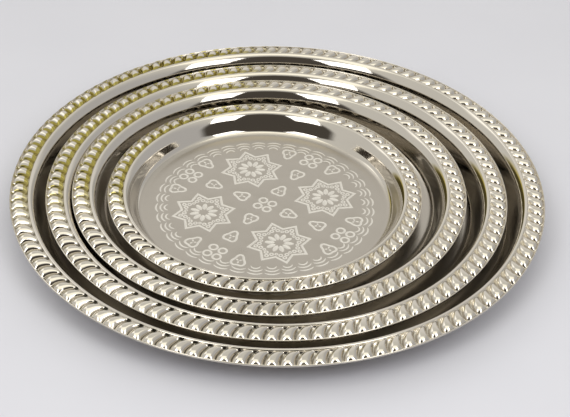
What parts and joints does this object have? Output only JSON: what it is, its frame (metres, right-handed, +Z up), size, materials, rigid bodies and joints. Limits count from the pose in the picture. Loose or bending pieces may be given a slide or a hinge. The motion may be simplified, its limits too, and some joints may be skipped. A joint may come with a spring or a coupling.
{
  "type": "nest of tea trays",
  "caption": "Nest of round polished metal tea trays with rims of curled lobes and engraved floors, stacked one inside another so that each lifts out for serving.",
  "frame": {"origin": "middle of the largest tray's underside, which is the plane that the nest stands on", "axes": "+Z up, out of the trays; +Y away from the viewer of the picture, +X to the right"},
  "size_m": [0.4, 0.3998, 0.023],
  "materials": {
    "polished_plate": "mirror polished with a warm nickel tone, the floor satin and finely engraved"
  },
  "bodies": {
    "tray_large": {"tray_large": "polished_plate"},
    "tray_medium_large": {"tray_medium_large": "polished_plate"},
    "tray_medium_small": {"tray_medium_small": "polished_plate"},
    "tray_small": {"tray_small": "polished_plate"}
  },
  "joints": [
    {"name": "tray_medium_large_lift", "type": "slide", "parent": "tray_large", "child": "tray_medium_large", "axis": [0, 0, 1], "range_m": [0, 0.06]},
    {"name": "tray_medium_small_lift", "type": "slide", "parent": "tray_medium_large", "child": "tray_medium_small", "axis": [0, 0, 1], "range_m": [0, 0.06]},
    {"name": "tray_small_lift", "type": "slide", "parent": "tray_medium_small", "child": "tray_small", "axis": [0, 0, 1], "range_m": [0, 0.06]}
  ]
}
